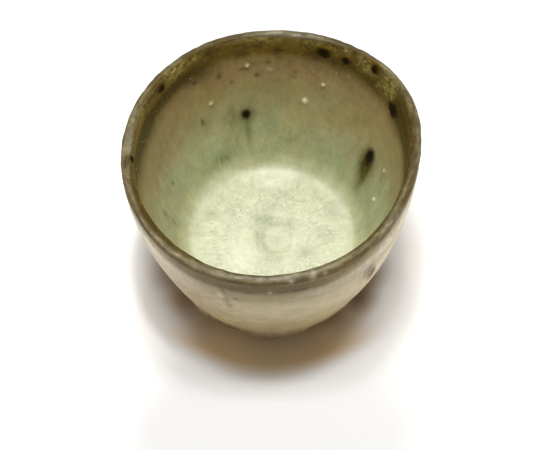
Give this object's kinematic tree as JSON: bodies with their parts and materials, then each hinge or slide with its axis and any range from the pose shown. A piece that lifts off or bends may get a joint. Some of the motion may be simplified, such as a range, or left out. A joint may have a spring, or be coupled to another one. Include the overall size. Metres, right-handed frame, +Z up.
{
  "type": "soba choko cup",
  "caption": "Small hand-thrown flared cup with an out-of-round iron-brown lip, pale glazed well and a low turned foot ring, for dipping sauce or tea.",
  "frame": {"origin": "middle of the foot ring, on the surface the cup stands on", "axes": "+Z up out of the mouth; -Y is the side towards the viewer in the picture, +X is to the right there"},
  "size_m": [0.0813, 0.0822, 0.0604],
  "materials": {
    "stoneware_clay": "bare fired stoneware, matt and gritty",
    "cream_glaze": "thin cream-beige glaze, satin",
    "iron_glaze": "iron-brown glaze, glossy on the crest",
    "celadon_glaze": "grey-green ash glaze, glossy, browner towards the rim",
    "pale_glaze": "pale cream-green pooled glaze, finely crackled",
    "melted_iron": "near-black melted iron with olive edges",
    "bead_glaze": "pale raised bead of glaze, glossy",
    "smear_glaze": "grey-brown iron smear, satin"
  },
  "bodies": {
    "root": {"clay_body": "stoneware_clay", "outside_glaze": "cream_glaze", "rim_glaze": "iron_glaze", "inside_glaze": "celadon_glaze", "well_glaze": "pale_glaze", "iron_run_left": "melted_iron", "iron_run_right": "melted_iron", "rim_iron_spot_1": "melted_iron", "rim_iron_spot_2": "melted_iron", "rim_iron_spot_3": "melted_iron", "rim_iron_spot_4": "melted_iron", "rim_iron_spot_5": "melted_iron", "rim_iron_spot_6": "melted_iron", "glaze_bead_1": "bead_glaze", "glaze_bead_2": "bead_glaze", "glaze_bead_3": "bead_glaze", "glaze_bead_4": "bead_glaze", "glaze_bead_5": "bead_glaze", "glaze_bead_6": "bead_glaze", "outside_glaze_run": "cream_glaze", "outside_iron_smear": "smear_glaze"}
  },
  "joints": []
}
